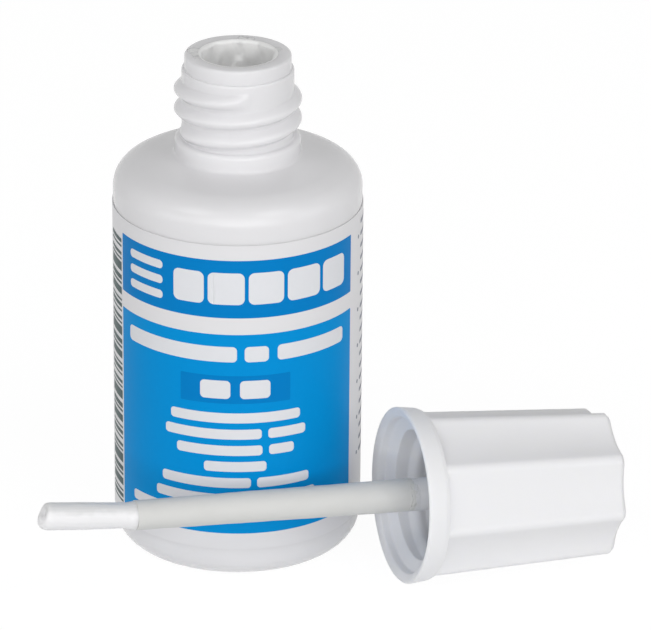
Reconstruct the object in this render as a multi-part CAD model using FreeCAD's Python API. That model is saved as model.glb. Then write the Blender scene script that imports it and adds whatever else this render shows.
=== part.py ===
import FreeCAD, Part
import math
import os

# Correction fluid bottle with its brush cap taken off, in millimetres.
# The bottle stands on z = 0 with its axis on Z and its label's middle facing -Y.
# The cap lies beside it on z = 0, with its stem and brush held in front of the bottle.

# Bottle body, blown in one piece with its neck
BODY_DIAMETER = 28.5
BODY_WALL = 1.0
BASE_WALL = 1.2
FOOT_ROUND = 3.2
FOOT_RING_WIDTH = 1.45
PUSH_UP = 0.8
PUSH_UP_RUN = 2.2
PUSH_UP_ROUND = 0.8
FOOT_INNER_ROUND = 0.3
SHOULDER_HEIGHT = 45.22
SHOULDER_ROUND = 2.9
SHOULDER_SLOPE = 30.0
CROWN_DIAMETER = 24.0
CROWN_ROUND = 5.0
CROWN_SLOPE = 12.1

# Bottle neck
NECK_BASE_DIAMETER = 14.4
NECK_BASE_TOP = 49.6
NECK_BASE_ROUND = 0.55
NECK_ROOT_ROUND = 0.5
NECK_STEP_ROUND = 0.2
NECK_DIAMETER = 12.8
LAND_TOP = 57.75
LAND_ROUND = 0.27
RIM_DIAMETER = 12.16
RIM_ROUND = 0.3
BOTTLE_HEIGHT = 59.45
MOUTH_BORE_DIAMETER = 8.6
BORE_ROOT_ROUND = 1.2

# Screw thread, one start, right-handed, shared by the neck and the cap
THREAD_PITCH = 2.35
NECK_THREAD_DEPTH = 0.88
NECK_THREAD_HALF_WIDTH = 0.95
NECK_THREAD_START_HEIGHT = 50.6
NECK_THREAD_START_ANGLE = 186.0
NECK_THREAD_SWEEP = 824.0
THREAD_FADE = 28.0
THREAD_RADIAL_CLEARANCE = 0.3
CAP_THREAD_DEPTH = 0.8
CAP_THREAD_HALF_WIDTH = 0.75
CAP_THREAD_START_HEIGHT = 2.6
CAP_THREAD_START_ANGLE = 140.0
CAP_THREAD_SWEEP = 620.0
THREAD_BITE = 0.2
THREAD_END_RISE = 0.06
THREAD_FLANK_RISE_SHARE = 0.66
THREAD_FLANK_WIDTH_SHARE = 0.52
THREAD_CREST_WIDTH_SHARE = 0.2
THREAD_SECTION_STEP = 15.0

# Label film round the body, with its print let in flush
FILM_THICKNESS = 0.1
FILM_GLUE = 0.02
FILM_BOTTOM = 4.15
FILM_TOP = 41.75
FILM_OVERLAP_ARC = 3.0
FILM_SEAM_ANGLE = 97.0
PRINT_ARC = 32.3
PRINT_MIDDLE_ANGLE = -89.4
BAND_BOTTOM = 32.95
BAND_TOP = 39.95
PANEL_BOTTOM = 6.15
PANEL_TOP = 30.92

# Plain marks in the print, as shares of its arc and of the height of the field that they stand in:
# middle height, mark height, then the arc of each block and gap in turn
BAND_BLOCKS = (0.51, 0.55, (0.115, 0.014, 0.13, 0.014, 0.127, 0.014, 0.133, 0.014, 0.115))
BAND_BLOCKS_SHIFT = 0.112
BAND_BAR_MIDDLES = (0.25, 0.51, 0.77)
BAND_BAR_HEIGHT = 0.145
BAND_BAR_ARC = 0.166
BAND_BARS_SHIFT = -0.355
BOX_ROW = (0.726, 0.139, (0.398,))
BOX_MARKS = (0.726, 0.09, (0.108, 0.034, 0.108))
HEADING_MARKS = (0.902, 0.076, (0.45, 0.027, 0.086, 0.032, 0.293))
LINE_MARKS = (
    (0.584, 0.05, (0.476,)),
    (0.502, 0.05, (0.354, 0.024, 0.142)),
    (0.42, 0.05, (0.311, 0.024, 0.093)),
    (0.339, 0.05, (0.223,)),
    (0.257, 0.05, (0.331, 0.022, 0.197)),
    (0.174, 0.05, (0.3, 0.024, 0.28)),
    (0.092, 0.05, (0.26, 0.024, 0.2, 0.024, 0.34)),
)

# Bar marks beside the print, and on its other side rows of small marks, some led by a dot
BARS_GAP = 0.35
BARS_LENGTH = 3.8
BARS_BOTTOM = 6.0
BARS_TOP = 39.2
BARS_AND_GAPS = (
    (0.25, 0.3),
    (0.5, 0.3),
    (0.25, 0.55),
    (0.9, 0.35),
    (0.3, 0.25),
    (0.6, 0.5),
    (1.1, 0.3),
    (0.25, 0.3),
    (0.4, 0.6),
)
SIDE_DOTS_GAP = 2.2
SIDE_LINES_GAP = 3.4
SIDE_MARKS_BOTTOM = 11.5
SIDE_MARKS_TOP = 40.2
SIDE_MARK_HEIGHT = 0.5
SIDE_MARK_PITCH = 1.5
SIDE_LINE_LENGTHS = (7.5, 6.2, 7.0, 4.0, 7.5, 6.8, 3.0)
ROWS_PER_DOT = 3

# Screw cap, moulded in one piece: collar, eight ridges with hollow flutes between, thread and socket
CAP_LENGTH = 24.65
CAP_COLLAR_DIAMETER = 20.38
CAP_COLLAR_WIDTH = 2.15
CAP_COLLAR_TAPER = 0.25
CAP_COLLAR_CHAMFER = 0.45
CAP_MOUTH_ROUND = 0.25
CAP_COLLAR_ROUND = 0.15
CAP_RIDGES = 8
CAP_RIDGE_DIAMETER_AT_COLLAR = 19.5
CAP_RIDGE_DIAMETER_AT_END = 17.5
CAP_RIDGE_ROUND = 0.7
CAP_FLUTE_DEPTH = 1.02
CAP_END_CHAMFER = 0.5
CAP_END_WALL = 1.3
CAP_RIDGE_TURN = 4.5
CAP_LIP_WIDTH = 0.3
CAP_LIP_DEPTH = 0.4
CAP_MOUTH_WALL = 1.19
CAP_LEAD_IN_DEPTH = 1.3
CAP_LEAD_IN_TAPER = 0.7
CAP_LEAD_IN_ROUND = 0.3
CAP_BORE_ROUND = 0.2
CAP_SHOULDER_DEPTH = 12.25
CAP_HOLLOW_DIAMETER = 12.4
CAP_HOLLOW_ROUND = 1.0
SOCKET_WALL = 1.3
SOCKET_CLEARANCE = 0.02
SOCKET_END_GAP = 0.5

# Stem, moulded with its sealing flange and plug
STEM_DIAMETER_AT_MOUTH = 3.74
STEM_DIAMETER_AT_TIP = 3.35
STEM_REACH = 31.7
STEM_TIP_ROUND = 0.45
STEM_TIP_WALL = 0.52
STEM_TAIL_DIAMETER = 4.2
STEM_TAIL_LENGTH = 8.5
STEM_TAIL_ROUND = 0.3
STEM_ROOT_ROUND = 0.4
FLANGE_THICKNESS = 1.0
FLANGE_CLEARANCE = 0.1
FLANGE_ROUND = 0.15
PLUG_LENGTH = 1.8
PLUG_WALL = 0.8
PLUG_TAPER_DEPTH = 0.2
PLUG_TAPER_LENGTH = 0.7
PLUG_CLEARANCE = 0.08

# Brush: a tuft of bristles folded over a flat wire staple in the stem's end
TUFT_HOLE_DEPTH = 5.0
BRUSH_LENGTH = 11.3
BRUSH_ROOT_DIAMETER = 2.7
BRUSH_ROOT_ROUND = 0.1
BRUSH_DIAMETER = 3.15
BRUSH_FULL_RUN = 6.0
BRUSH_SWELL_ROUND = 8.0
BRUSH_TIP_RUN = 0.9
BRUSH_TIP_DIAMETER = 1.9
BRUSH_TIP_ROUND = 0.9
BRUSH_END_ROUND = 0.5
BRUSH_BEND = 3.8
STAPLE_WIDTH = 2.8
STAPLE_HEIGHT = 1.4
STAPLE_THICKNESS = 0.35

# Steel mixing ball, loose on the bottle's floor
BALL_DIAMETER = 5.0
BALL_REACH = 10.3
BALL_ANGLE = 50.0
BALL_CLEARANCE = 0.05

# Where the cap lies: the middle of its mouth, and the way that its closed end points
CAP_MOUTH_X = 19.0
CAP_MOUTH_Y = -12.1
CAP_HEADING = 19.0

BODY_RADIUS = BODY_DIAMETER / 2
NECK_RADIUS = NECK_DIAMETER / 2
BORE_RADIUS = MOUTH_BORE_DIAMETER / 2
FILM_RADIUS = BODY_RADIUS + FILM_GLUE + FILM_THICKNESS
TUFT_HOLE_RADIUS = STEM_DIAMETER_AT_TIP / 2 - STEM_TIP_WALL
CAP_BORE_RADIUS = NECK_RADIUS + NECK_THREAD_DEPTH + THREAD_RADIAL_CLEARANCE
AXIS = FreeCAD.Vector(0, 0, 1)
ORIGIN = FreeCAD.Vector(0, 0, 0)
SAME_POINT = 1e-6


def polar(radius, angle, height=0.0):
    """Point at a radius, an angle in degrees from +X and a height."""
    turn = math.radians(angle)
    return FreeCAD.Vector(radius * math.cos(turn), radius * math.sin(turn), height)


def rounded_outline(corners):
    """Closed wire in the XZ plane through corners (radius, height, round), each rounded by a tangent arc."""
    points = [FreeCAD.Vector(r, 0, z) for r, z, _ in corners]
    starts, ends, middles = [], [], []
    for i, (_, _, size) in enumerate(corners):
        here = points[i]
        back = (points[i - 1] - here).normalize()
        ahead = (points[(i + 1) % len(points)] - here).normalize()
        half = math.acos(max(-1.0, min(1.0, back.dot(ahead)))) / 2
        run = size / math.tan(half)
        starts.append(here + back * run)
        ends.append(here + ahead * run)
        inward = (back + ahead).normalize() if size else back
        middles.append(here + inward * (size / math.sin(half) - size))
    edges = []
    for i, (_, _, size) in enumerate(corners):
        if size:
            edges.append(Part.Arc(starts[i], middles[i], ends[i]).toShape())
        following = starts[(i + 1) % len(corners)]
        if (following - ends[i]).Length > SAME_POINT:
            edges.append(Part.LineSegment(ends[i], following).toShape())
    return Part.Wire(edges)


def turned(corners):
    """Solid turned about Z from rounded corners (radius, height, round)."""
    return Part.Face(rounded_outline(corners)).revolve(ORIGIN, AXIS, 360)


def thread_ridge(root, crest, half_width, start_height, start_angle, sweep):
    """Helical ridge with a blunt crest, from a root to a crest radius, sinking into the root at both ends."""
    side = 1 if crest > root else -1
    foot = root - side * THREAD_BITE
    rise = abs(crest - foot)
    section = (
        (0, -1),
        (THREAD_FLANK_RISE_SHARE, -THREAD_FLANK_WIDTH_SHARE),
        (1, -THREAD_CREST_WIDTH_SHARE),
        (1, THREAD_CREST_WIDTH_SHARE),
        (THREAD_FLANK_RISE_SHARE, THREAD_FLANK_WIDTH_SHARE),
        (0, 1),
    )
    count = math.ceil(sweep / THREAD_SECTION_STEP)
    sections = []
    for i in range(count + 1):
        turn = sweep * i / count
        fade = min(1.0, turn / THREAD_FADE, (sweep - turn) / THREAD_FADE)
        reach = THREAD_END_RISE + (rise - THREAD_END_RISE) * math.sin(fade * math.pi / 2)
        angle = start_angle + turn
        height = start_height + THREAD_PITCH * turn / 360
        corners = [polar(foot + side * reach * out, angle, height + half_width * up) for out, up in section]
        sections.append(Part.makePolygon(corners + corners[:1]))
    return Part.makeLoft(sections, True, False)


def make_bottle():
    """Hollow body, domed shoulder, collared neck with its thread, and a pushed-up base inside a foot ring."""
    steep = math.radians(SHOULDER_SLOPE)
    flat = math.radians(CROWN_SLOPE)
    crown = CROWN_DIAMETER / 2
    crown_height = SHOULDER_HEIGHT + (BODY_RADIUS - crown) * math.tan(steep)
    foot_inner = BODY_RADIUS - FOOT_ROUND - FOOT_RING_WIDTH
    inner_radius = BODY_RADIUS - BODY_WALL
    inner_round = FOOT_ROUND - BODY_WALL

    def crown_slope(radius):
        return crown_height + (crown - radius) * math.tan(flat)

    def inner_slope(radius):
        return crown_slope(radius) - BODY_WALL / math.cos(flat)

    bend = (steep + flat) / 2
    inner_crown = crown - BODY_WALL * math.sin(bend) / math.cos((steep - flat) / 2)
    inner_shoulder = inner_slope(inner_crown) - (inner_radius - inner_crown) * math.tan(steep)
    neck_base = NECK_BASE_DIAMETER / 2
    rim = RIM_DIAMETER / 2
    corners = [
        (0, PUSH_UP, 0),
        (foot_inner - PUSH_UP_RUN, PUSH_UP, PUSH_UP_ROUND),
        (foot_inner, 0, FOOT_INNER_ROUND),
        (BODY_RADIUS, 0, FOOT_ROUND),
        (BODY_RADIUS, SHOULDER_HEIGHT, SHOULDER_ROUND),
        (crown, crown_height, CROWN_ROUND),
        (neck_base, crown_slope(neck_base), NECK_ROOT_ROUND),
        (neck_base, NECK_BASE_TOP, NECK_BASE_ROUND),
        (NECK_RADIUS, NECK_BASE_TOP, NECK_STEP_ROUND),
        (NECK_RADIUS, LAND_TOP, LAND_ROUND),
        (rim, LAND_TOP, 0),
        (rim, BOTTLE_HEIGHT, RIM_ROUND),
        (BORE_RADIUS, BOTTLE_HEIGHT, RIM_ROUND),
        (BORE_RADIUS, inner_slope(BORE_RADIUS), BORE_ROOT_ROUND),
        (inner_crown, inner_slope(inner_crown), CROWN_ROUND - BODY_WALL),
        (inner_radius, inner_shoulder, SHOULDER_ROUND - BODY_WALL),
        (inner_radius, BASE_WALL, inner_round),
        (foot_inner, BASE_WALL, FOOT_INNER_ROUND),
        (foot_inner - PUSH_UP_RUN, PUSH_UP + BASE_WALL, PUSH_UP_ROUND),
        (0, PUSH_UP + BASE_WALL, 0),
    ]
    thread = thread_ridge(
        NECK_RADIUS,
        NECK_RADIUS + NECK_THREAD_DEPTH,
        NECK_THREAD_HALF_WIDTH,
        NECK_THREAD_START_HEIGHT,
        NECK_THREAD_START_ANGLE,
        NECK_THREAD_SWEEP,
    )
    return turned(corners).fuse(thread)


def film_patch(arc_low, arc_high, bottom, top, layer=0):
    """Curved block of a label layer between two arc lengths from the front middle and two heights."""
    inner = BODY_RADIUS + FILM_GLUE + layer * FILM_THICKNESS
    outer = inner + FILM_THICKNESS
    corners = [(inner, bottom, 0), (outer, bottom, 0), (outer, top, 0), (inner, top, 0)]
    section = Part.Face(rounded_outline(corners))
    section.rotate(ORIGIN, AXIS, PRINT_MIDDLE_ANGLE + math.degrees(arc_low / FILM_RADIUS))
    return section.revolve(ORIGIN, AXIS, math.degrees((arc_high - arc_low) / FILM_RADIUS))


def row_of_marks(bottom, top, marks, shift=0.0):
    """Blocks of one row in the field between two heights, centred on the front middle plus a shift."""
    middle, height, run = marks
    low = bottom + (top - bottom) * (middle - height / 2)
    high = bottom + (top - bottom) * (middle + height / 2)
    at = shift - sum(run) / 2
    blocks = []
    for i, length in enumerate(run):
        if i % 2 == 0:
            blocks.append(film_patch(at * PRINT_ARC, (at + length) * PRINT_ARC, low, high))
        at += length
    return blocks


def make_label():
    """Film and each field of its print, as pieces of one layer that fit edge to edge."""
    half_print = PRINT_ARC / 2
    band_marks = row_of_marks(BAND_BOTTOM, BAND_TOP, BAND_BLOCKS, BAND_BLOCKS_SHIFT)
    for middle in BAND_BAR_MIDDLES:
        bar_row = (middle, BAND_BAR_HEIGHT, (BAND_BAR_ARC,))
        band_marks += row_of_marks(BAND_BOTTOM, BAND_TOP, bar_row, BAND_BARS_SHIFT)
    box_marks = row_of_marks(PANEL_BOTTOM, PANEL_TOP, BOX_MARKS)
    line_marks = row_of_marks(PANEL_BOTTOM, PANEL_TOP, HEADING_MARKS)
    for line in LINE_MARKS:
        line_marks += row_of_marks(PANEL_BOTTOM, PANEL_TOP, line)
    box = row_of_marks(PANEL_BOTTOM, PANEL_TOP, BOX_ROW)[0]
    band = film_patch(-half_print, half_print, BAND_BOTTOM, BAND_TOP)
    panel = film_patch(-half_print, half_print, PANEL_BOTTOM, PANEL_TOP)

    bars = []
    bars_right = -half_print - BARS_GAP
    height = BARS_BOTTOM
    bar, gap = BARS_AND_GAPS[0]
    while height + bar < BARS_TOP:
        bars.append(film_patch(bars_right - BARS_LENGTH, bars_right, height, height + bar))
        height += bar + gap
        bar, gap = BARS_AND_GAPS[len(bars) % len(BARS_AND_GAPS)]

    side_marks = []
    dots = half_print + SIDE_DOTS_GAP
    lines = half_print + SIDE_LINES_GAP
    for row in range(int((SIDE_MARKS_TOP - SIDE_MARKS_BOTTOM) / SIDE_MARK_PITCH) + 1):
        low = SIDE_MARKS_BOTTOM + row * SIDE_MARK_PITCH
        length = SIDE_LINE_LENGTHS[row % len(SIDE_LINE_LENGTHS)]
        side_marks.append(film_patch(lines, lines + length, low, low + SIDE_MARK_HEIGHT))
        if row % ROWS_PER_DOT == 0:
            side_marks.append(film_patch(dots, dots + SIDE_MARK_HEIGHT, low, low + SIDE_MARK_HEIGHT))

    seam = math.radians(FILM_SEAM_ANGLE - PRINT_MIDDLE_ANGLE) * FILM_RADIUS
    left = bars_right + BARS_GAP / 2
    right = half_print + SIDE_DOTS_GAP / 2
    ends = [seam - 2 * math.pi * FILM_RADIUS, left - BARS_LENGTH - BARS_GAP, left, 0, right, dots + right, seam]
    wrap = [film_patch(low, high, FILM_BOTTOM, FILM_TOP) for low, high in zip(ends, ends[1:])]
    wrap.append(film_patch(seam, seam + FILM_OVERLAP_ARC, FILM_BOTTOM, FILM_TOP, layer=1))
    film = wrap[0].fuse(wrap[1:]).cut(Part.makeCompound([band, panel] + bars + side_marks))
    return {
        "label_film": film,
        "label_band": band.cut(Part.makeCompound(band_marks)),
        "label_band_marks": Part.makeCompound(band_marks),
        "label_panel": panel.cut(Part.makeCompound([box] + line_marks)),
        "label_panel_box": box.cut(Part.makeCompound(box_marks)),
        "label_panel_marks": Part.makeCompound(line_marks + box_marks),
        "label_bar_marks": Part.makeCompound(bars),
        "label_side_marks": Part.makeCompound(side_marks),
    }


def fluted_wire(ridge_radius, height):
    """Outline of the ridged cap body: round ridges with a tangent hollow flute between each pair."""
    half = math.pi / CAP_RIDGES
    ridge_centre = ridge_radius - CAP_RIDGE_ROUND
    floor = ridge_radius - CAP_FLUTE_DEPTH - CAP_RIDGE_ROUND
    far = (ridge_centre**2 - floor**2) / (2 * (ridge_centre * math.cos(half) - floor))
    across = FreeCAD.Vector(far * math.cos(half) - ridge_centre, far * math.sin(half), 0).normalize()
    touch = FreeCAD.Vector(ridge_centre, 0, 0) + across * CAP_RIDGE_ROUND
    touch_radius = math.hypot(touch.x, touch.y)
    touch_angle = math.degrees(math.atan2(touch.y, touch.x))
    step = 360 / CAP_RIDGES
    edges = []
    for i in range(CAP_RIDGES):
        ridge = CAP_RIDGE_TURN + i * step
        before = polar(touch_radius, ridge - touch_angle, height)
        after = polar(touch_radius, ridge + touch_angle, height)
        following = polar(touch_radius, ridge + step - touch_angle, height)
        edges.append(Part.Arc(before, polar(ridge_radius, ridge, height), after).toShape())
        bottom = polar(ridge_radius - CAP_FLUTE_DEPTH, ridge + step / 2, height)
        edges.append(Part.Arc(after, bottom, following).toShape())
    return Part.Wire(edges)


def make_cap():
    """One-piece cap on Z: mouth at z = 0, closed end up, thread and stem socket inside."""
    collar = CAP_COLLAR_DIAMETER / 2
    at_collar = CAP_RIDGE_DIAMETER_AT_COLLAR / 2
    at_end = CAP_RIDGE_DIAMETER_AT_END / 2
    body_start = CAP_COLLAR_WIDTH + CAP_COLLAR_CHAMFER
    ring = turned(
        [
            (0, 0, 0),
            (collar, 0, CAP_MOUTH_ROUND),
            (collar - CAP_COLLAR_TAPER, CAP_COLLAR_WIDTH, CAP_COLLAR_ROUND),
            (at_collar, body_start, 0),
            (0, body_start, 0),
        ]
    )
    end_start = CAP_LENGTH - CAP_END_CHAMFER
    body = Part.makeLoft([fluted_wire(at_collar, body_start), fluted_wire(at_end, end_start)], True, True)
    end = Part.makeLoft(
        [fluted_wire(at_end, end_start), fluted_wire(at_end - CAP_END_CHAMFER, CAP_LENGTH)], True, True
    )
    lip = collar - CAP_LIP_WIDTH
    lead_in = collar - CAP_MOUTH_WALL
    hollow = CAP_HOLLOW_DIAMETER / 2
    roof = CAP_LENGTH - CAP_END_WALL
    cavity = turned(
        [
            (0, -CAP_LEAD_IN_DEPTH, 0),
            (lip, -CAP_LEAD_IN_DEPTH, 0),
            (lip, 0, 0),
            (lead_in, CAP_LIP_DEPTH, CAP_LEAD_IN_ROUND),
            (lead_in, CAP_LEAD_IN_DEPTH, CAP_LEAD_IN_ROUND),
            (CAP_BORE_RADIUS, CAP_LEAD_IN_DEPTH + CAP_LEAD_IN_TAPER, CAP_BORE_ROUND),
            (CAP_BORE_RADIUS, CAP_SHOULDER_DEPTH, 0),
            (hollow, CAP_SHOULDER_DEPTH, 0),
            (hollow, roof, CAP_HOLLOW_ROUND),
            (0, roof, 0),
        ]
    )
    socket_inner = STEM_TAIL_DIAMETER / 2 + SOCKET_CLEARANCE
    socket_outer = socket_inner + SOCKET_WALL
    socket_mouth = polar(0, 0, CAP_SHOULDER_DEPTH)
    socket = Part.makeCylinder(socket_outer, CAP_LENGTH - CAP_END_WALL / 2 - CAP_SHOULDER_DEPTH, socket_mouth)
    socket = socket.cut(Part.makeCylinder(socket_inner, STEM_TAIL_LENGTH + SOCKET_END_GAP, socket_mouth))
    thread = thread_ridge(
        CAP_BORE_RADIUS,
        CAP_BORE_RADIUS - CAP_THREAD_DEPTH,
        CAP_THREAD_HALF_WIDTH,
        CAP_THREAD_START_HEIGHT,
        CAP_THREAD_START_ANGLE,
        CAP_THREAD_SWEEP,
    )
    return ring.fuse([body, end]).cut(cavity).fuse([socket, thread]).removeSplitter()


def make_stem():
    """Tapered stem with a flange that seals on the rim, a plug skirt for the bore and a tail for the socket."""
    mouth = STEM_DIAMETER_AT_MOUTH / 2
    tip = STEM_DIAMETER_AT_TIP / 2
    flange_top = CAP_SHOULDER_DEPTH
    flange_low = flange_top - FLANGE_THICKNESS
    slope = (mouth - tip) / STEM_REACH
    at_flange = mouth + slope * flange_low
    flange = CAP_BORE_RADIUS - CAP_THREAD_DEPTH - FLANGE_CLEARANCE
    plug = BORE_RADIUS - PLUG_CLEARANCE
    plug_low = flange_low - PLUG_LENGTH
    tail = STEM_TAIL_DIAMETER / 2
    hole_top = TUFT_HOLE_DEPTH - STEM_REACH
    stem = turned(
        [
            (0, hole_top, 0),
            (TUFT_HOLE_RADIUS, hole_top, 0),
            (TUFT_HOLE_RADIUS, -STEM_REACH, 0),
            (tip, -STEM_REACH, STEM_TIP_ROUND),
            (at_flange, flange_low, STEM_ROOT_ROUND),
            (plug - PLUG_WALL, flange_low, 0),
            (plug - PLUG_WALL, plug_low, 0),
            (plug - PLUG_TAPER_DEPTH, plug_low, 0),
            (plug, plug_low + PLUG_TAPER_LENGTH, 0),
            (plug, flange_low, 0),
            (flange, flange_low, FLANGE_ROUND),
            (flange, flange_top, FLANGE_ROUND),
            (tail, flange_top, 0),
            (tail, flange_top + STEM_TAIL_LENGTH, STEM_TAIL_ROUND),
            (0, flange_top + STEM_TAIL_LENGTH, 0),
        ]
    )
    return stem.cut(staple_block())


def staple_block():
    """Flat wire staple across the top of the tuft's hole, its ends driven into the stem."""
    low = TUFT_HOLE_DEPTH - STEM_REACH - STAPLE_HEIGHT
    corner = FreeCAD.Vector(-STAPLE_THICKNESS / 2, -STAPLE_WIDTH / 2, low)
    return Part.makeBox(STAPLE_THICKNESS, STAPLE_WIDTH, STAPLE_HEIGHT, corner)


def make_brush():
    """Tuft: a straight root in the stem's hole, and wet bristles outside drawn together into a blunt tip."""
    root = BRUSH_ROOT_DIAMETER / 2
    full = BRUSH_DIAMETER / 2
    wet = turned(
        [
            (0, 0, 0),
            (root, 0, BRUSH_ROOT_ROUND),
            (full, -BRUSH_FULL_RUN, BRUSH_SWELL_ROUND),
            (full, BRUSH_TIP_RUN - BRUSH_LENGTH, BRUSH_TIP_ROUND),
            (BRUSH_TIP_DIAMETER / 2, -BRUSH_LENGTH, BRUSH_END_ROUND),
            (0, -BRUSH_LENGTH, 0),
        ]
    )
    wet.rotate(ORIGIN, FreeCAD.Vector(0, 1, 0), BRUSH_BEND)
    wet.translate(FreeCAD.Vector(0, 0, -STEM_REACH))
    lift = root * math.sin(math.radians(BRUSH_BEND))
    trim = Part.makeBox(4 * full, 4 * full, 2 * lift, FreeCAD.Vector(-2 * full, -2 * full, -STEM_REACH))
    inner = Part.makeCylinder(TUFT_HOLE_RADIUS, TUFT_HOLE_DEPTH + lift, polar(0, 0, -STEM_REACH - lift))
    return wet.cut(trim).fuse(inner).cut(staple_block())


def make_ball():
    """Steel ball on the bottle's floor."""
    ball = BALL_DIAMETER / 2
    return Part.makeSphere(ball, polar(BALL_REACH, BALL_ANGLE, BASE_WALL + BALL_CLEARANCE + ball))


def lay_down(shapes):
    """Turn the upright cap and what it holds on its side, resting on its mouth and the end of a ridge."""
    mouth_reach = CAP_COLLAR_DIAMETER / 2 - CAP_MOUTH_ROUND
    ridge_centre = CAP_RIDGE_DIAMETER_AT_END / 2 - CAP_RIDGE_ROUND
    ridge_reach = ridge_centre * math.cos(math.radians(CAP_RIDGE_TURN)) + CAP_RIDGE_ROUND
    fall = mouth_reach - ridge_reach
    run = CAP_LENGTH - CAP_END_CHAMFER - CAP_MOUTH_ROUND
    tilt = math.atan2(fall, run) + math.asin(CAP_MOUTH_ROUND / math.hypot(fall, run))
    mouth_height = mouth_reach * math.cos(tilt) + CAP_MOUTH_ROUND * math.sin(tilt) + CAP_MOUTH_ROUND
    lean = FreeCAD.Rotation(FreeCAD.Vector(0, 1, 0), 90 + math.degrees(tilt))
    turn = FreeCAD.Rotation(AXIS, CAP_HEADING) * lean
    place = FreeCAD.Placement(FreeCAD.Vector(CAP_MOUTH_X, CAP_MOUTH_Y, mouth_height), turn)
    lying = {name: shape.copy() for name, shape in shapes.items()}
    for shape in lying.values():
        shape.Placement = place
    return lying


parts = {"bottle": make_bottle(), "mixing_ball": make_ball()}
parts.update(make_label())
parts.update(
    lay_down(
        {
            "screw_cap": make_cap(),
            "stem": make_stem(),
            "brush_tuft": make_brush(),
            "brush_staple": staple_block(),
        }
    )
)
os.makedirs("parts", exist_ok=True)
for name, shape in parts.items():
    shape.exportStep(f"parts/{name}.step")
    print(name, len(shape.Solids), round(shape.Volume, 2), shape.isValid())
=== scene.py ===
import math

import bmesh
import bpy
import numpy as np
from mathutils import Matrix, Vector


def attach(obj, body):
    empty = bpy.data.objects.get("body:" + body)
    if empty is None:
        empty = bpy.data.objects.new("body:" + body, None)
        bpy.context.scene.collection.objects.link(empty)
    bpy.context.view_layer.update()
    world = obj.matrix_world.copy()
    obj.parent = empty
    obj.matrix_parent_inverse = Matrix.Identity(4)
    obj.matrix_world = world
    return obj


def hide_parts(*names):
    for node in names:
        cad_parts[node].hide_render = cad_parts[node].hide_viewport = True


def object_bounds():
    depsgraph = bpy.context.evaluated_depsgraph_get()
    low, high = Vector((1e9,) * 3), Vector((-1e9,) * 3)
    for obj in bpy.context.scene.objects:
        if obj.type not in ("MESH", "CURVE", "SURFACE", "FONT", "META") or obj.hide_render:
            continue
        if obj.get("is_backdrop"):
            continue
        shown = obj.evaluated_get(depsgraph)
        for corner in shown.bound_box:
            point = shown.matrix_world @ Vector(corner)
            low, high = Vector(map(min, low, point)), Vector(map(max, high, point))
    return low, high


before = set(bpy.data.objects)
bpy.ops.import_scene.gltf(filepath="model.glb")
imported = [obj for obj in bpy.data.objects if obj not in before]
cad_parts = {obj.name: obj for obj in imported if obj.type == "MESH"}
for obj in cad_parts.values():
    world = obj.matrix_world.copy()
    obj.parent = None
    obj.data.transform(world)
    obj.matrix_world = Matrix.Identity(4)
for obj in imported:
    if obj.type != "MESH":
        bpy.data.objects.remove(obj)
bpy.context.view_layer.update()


# Bottle: white polyethylene, blown in one piece from the foot ring to the threaded neck and its bore.
# The pushed-up base keeps it steady on its ring, and the soft one-start thread is moulded into the neck.

MM = 0.001
BODY_RADIUS = 14.25
BODY_WALL = 1.0
BASE_WALL = 1.2
FOOT_ROUND = 3.2
FOOT_RING_WIDTH = 1.45
PUSH_UP = 0.8
PUSH_UP_RUN = 2.2
SHOULDER_HEIGHT = 45.22
SHOULDER_SLOPE = math.tan(math.radians(30.0))
CROWN_RADIUS = 12.0
CROWN_SLOPE = math.tan(math.radians(12.1))
CROWN_INSIDE = (11.62, 45.58)
SHOULDER_INSIDE_HEIGHT = 44.64
NECK_BASE_RADIUS = 7.2
NECK_BASE_TOP = 49.6
NECK_RADIUS = 6.4
LAND_TOP = 57.75
RIM_RADIUS = 6.08
BOTTLE_HEIGHT = 59.45
BORE_RADIUS = 4.3
BORE_BOTTOM = 47.15
THREAD_PITCH = 2.35
THREAD_FADE = 34.0
NECK_THREAD_HEIGHT = 50.6
NECK_THREAD_START = 186.0
NECK_THREAD_SWEEP = 819.0
NECK_THREAD_HALF_WIDTH = 1.02
NECK_THREAD_DEPTH = 0.88
BOTTLE_COLUMNS = 288
# Spots of fluid that has dried on the rim: the x, y and half width of each.
RIM_SPOTS = (
    (-5.05, 0.6, 0.72),
    (-4.75, -0.6, 0.5),
    (-4.5, -1.6, 0.42),
    (0.4, 4.95, 0.5),
    (1.3, 4.7, 0.4),
    (4.5, 1.4, 0.35),
)


def rounded(corners, run, facet=0.1):
    """Points of an outline through corners (radius, height, round), no farther apart than its run at each place."""
    points = [np.array(corner[:2], float) for corner in corners]
    line = [points[0]]
    for back, here, ahead, corner in zip(points, points[1:], points[2:], corners[1:]):
        size = corner[2]
        to_back = (back - here) / np.linalg.norm(back - here)
        to_ahead = (ahead - here) / np.linalg.norm(ahead - here)
        half = math.acos(max(-1.0, min(1.0, float(to_back @ to_ahead)))) / 2
        if size == 0:
            line.append(here)
            continue
        middle = to_back + to_ahead
        centre = here + middle / np.linalg.norm(middle) * size / math.sin(half)
        first = here + to_back * size / math.tan(half) - centre
        last = here + to_ahead * size / math.tan(half) - centre
        sweep = math.pi - 2 * half
        count = max(4, math.ceil(size * sweep / facet))
        for t in np.linspace(0, 1, count + 1):
            line.append(centre + (math.sin((1 - t) * sweep) * first + math.sin(t * sweep) * last) / math.sin(sweep))
    line.append(points[-1])
    even = [line[0]]
    for start, end in zip(line, line[1:]):
        pieces = max(1, math.ceil(np.linalg.norm(end - start) / run((start + end) / 2)))
        even += [start + (end - start) * k / pieces for k in range(1, pieces + 1)]
    return np.array(even)


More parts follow.
